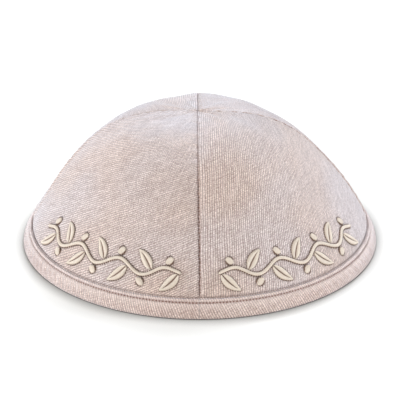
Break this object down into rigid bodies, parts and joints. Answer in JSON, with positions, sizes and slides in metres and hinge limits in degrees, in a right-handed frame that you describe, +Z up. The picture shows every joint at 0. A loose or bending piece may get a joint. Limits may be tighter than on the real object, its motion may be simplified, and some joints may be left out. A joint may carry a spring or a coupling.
{
  "type": "embroidered kippah",
  "caption": "Domed skullcap of woven linen-look cloth: curved panels that meet at the crown, a folded topstitched rim binding and a raised satin-stitched vine round the front.",
  "frame": {"origin": "middle of the rim, on the surface that the kippah rests on", "axes": "+Z up through the crown, -Y towards the front seam that parts the two embroidered panels, +X to the right when seen from the front"},
  "size_m": [0.18, 0.18, 0.0668],
  "materials": {
    "linen": "heavy ribbed weave of mixed cream, beige and pinkish yarns, matt",
    "binding_linen": "the panels' cloth, folded over the rim and topstitched, matt",
    "embroidery_thread": "cream embroidery thread in satin stitch, soft sheen"
  },
  "bodies": {
    "root": {"panel_front_right": "linen", "panel_back_right": "linen", "panel_back_left": "linen", "panel_front_left": "linen", "rim_binding": "binding_linen", "vine_stem_right": "embroidery_thread", "vine_leaf_right_1": "embroidery_thread", "vine_leaf_right_2": "embroidery_thread", "vine_leaf_right_3": "embroidery_thread", "vine_leaf_right_4": "embroidery_thread", "vine_leaf_right_5": "embroidery_thread", "vine_leaf_right_6": "embroidery_thread", "vine_leaf_right_7": "embroidery_thread", "vine_berry_right_1": "embroidery_thread", "vine_berry_right_2": "embroidery_thread", "vine_berry_right_3": "embroidery_thread", "vine_berry_right_4": "embroidery_thread", "vine_berry_right_5": "embroidery_thread", "vine_berry_right_6": "embroidery_thread", "vine_berry_right_7": "embroidery_thread", "vine_stem_left": "embroidery_thread", "vine_leaf_left_1": "embroidery_thread", "vine_leaf_left_2": "embroidery_thread", "vine_leaf_left_3": "embroidery_thread", "vine_leaf_left_4": "embroidery_thread", "vine_leaf_left_5": "embroidery_thread", "vine_leaf_left_6": "embroidery_thread", "vine_leaf_left_7": "embroidery_thread", "vine_berry_left_1": "embroidery_thread", "vine_berry_left_2": "embroidery_thread", "vine_berry_left_3": "embroidery_thread", "vine_berry_left_4": "embroidery_thread", "vine_berry_left_5": "embroidery_thread", "vine_berry_left_6": "embroidery_thread", "vine_berry_left_7": "embroidery_thread"}
  },
  "joints": []
}
